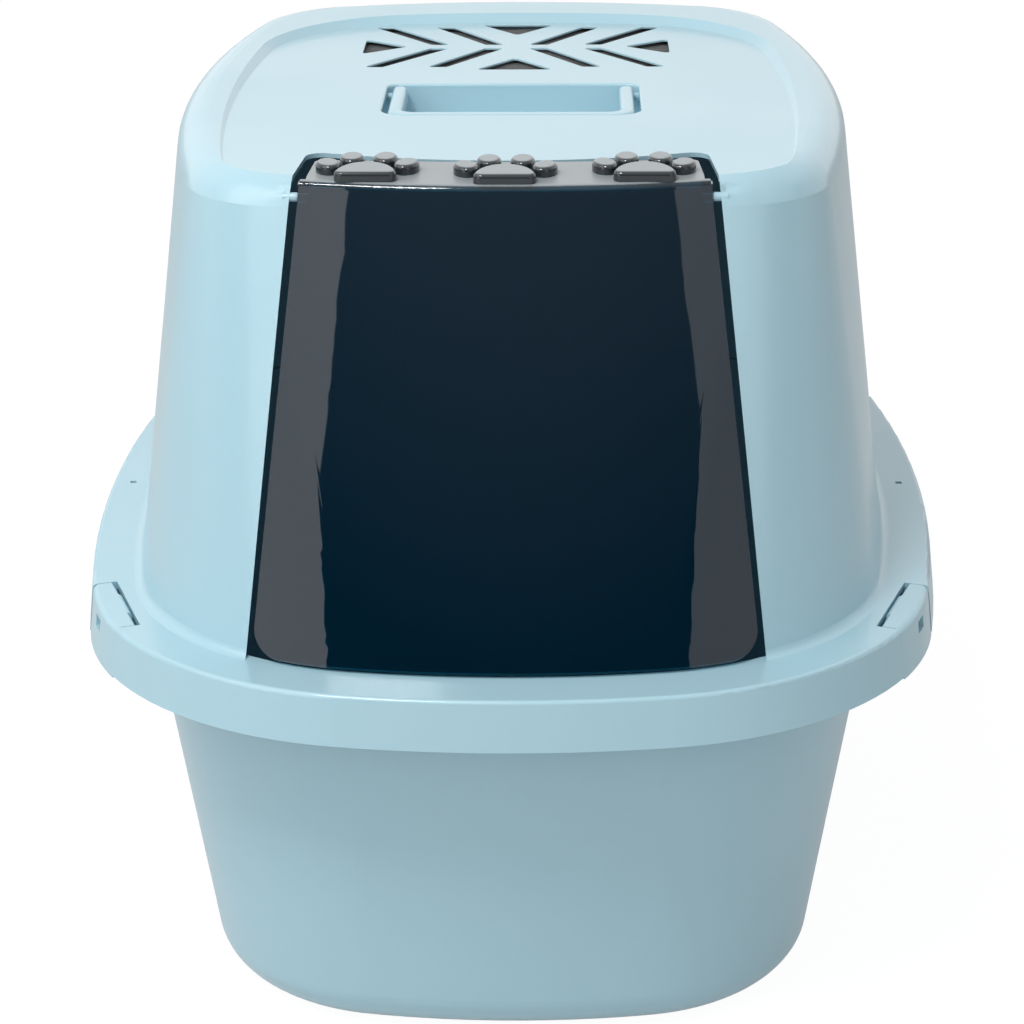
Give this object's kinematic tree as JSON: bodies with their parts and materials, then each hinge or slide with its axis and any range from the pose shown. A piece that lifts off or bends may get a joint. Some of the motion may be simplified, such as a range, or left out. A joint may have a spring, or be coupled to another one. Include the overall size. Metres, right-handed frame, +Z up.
{
  "type": "covered litter box",
  "caption": "Covered litter box: drafted tub, tall hood with a smoked swing flap topped by paw-shaped pads, folding carry handle, filtered roof vent and clips round the rim.",
  "frame": {"origin": "on the floor, under the middle of the overall box", "axes": "+Z up, -Y out of the door, +X to the right when facing the door"},
  "size_m": [0.4048, 0.5236, 0.3902],
  "materials": {
    "shell_plastic": "satin injection-moulded polypropylene, pastel blue",
    "smoked_plastic": "polished smoked clear plastic",
    "charcoal_pad": "carbon-loaded fibre fleece",
    "frame_plastic": "plain moulded plastic"
  },
  "bodies": {
    "tub": {"tub": "shell_plastic"},
    "hood": {"hood": "shell_plastic"},
    "flap": {"flap": "smoked_plastic"},
    "handle": {"handle": "shell_plastic"},
    "filter_frame": {"filter_frame": "frame_plastic", "filter_pad": "charcoal_pad"},
    "clip_front_left": {"clip_front_left": "shell_plastic"},
    "clip_front_right": {"clip_front_right": "shell_plastic"},
    "clip_rear_left": {"clip_rear_left": "shell_plastic"},
    "clip_rear_right": {"clip_rear_right": "shell_plastic"}
  },
  "joints": [
    {"name": "hood_lift", "type": "slide", "parent": "tub", "child": "hood", "axis": [0, 0, 1], "range_m": [0, 0.12]},
    {"name": "flap_swing", "type": "hinge", "parent": "hood", "child": "flap", "pos_m": [0, -0.16274, 0.3782], "axis": [1, 0, 0], "range_deg": [-70, 75]},
    {"name": "handle_fold", "type": "hinge", "parent": "hood", "child": "handle", "pos_m": [0, 0.013, 0.3808], "axis": [-1, 0, 0], "range_deg": [0, 90]},
    {"name": "filter_frame_swing", "type": "hinge", "parent": "hood", "child": "filter_frame", "pos_m": [0, 0.048, 0.3745], "axis": [-1, 0, 0], "range_deg": [0, 80]},
    {"name": "clip_front_left_swing", "type": "hinge", "parent": "hood", "child": "clip_front_left", "pos_m": [-0.173, -0.1554, 0.1866], "axis": [-0.3306, 0.9438, 0], "range_deg": [0, 95]},
    {"name": "clip_front_right_swing", "type": "hinge", "parent": "hood", "child": "clip_front_right", "pos_m": [0.173, -0.1554, 0.1866], "axis": [-0.3306, -0.9438, 0], "range_deg": [0, 95]},
    {"name": "clip_rear_left_swing", "type": "hinge", "parent": "hood", "child": "clip_rear_left", "pos_m": [-0.173, 0.1554, 0.1866], "axis": [0.3306, 0.9438, 0], "range_deg": [0, 95]},
    {"name": "clip_rear_right_swing", "type": "hinge", "parent": "hood", "child": "clip_rear_right", "pos_m": [0.173, 0.1554, 0.1866], "axis": [0.3306, -0.9438, 0], "range_deg": [0, 95]}
  ]
}
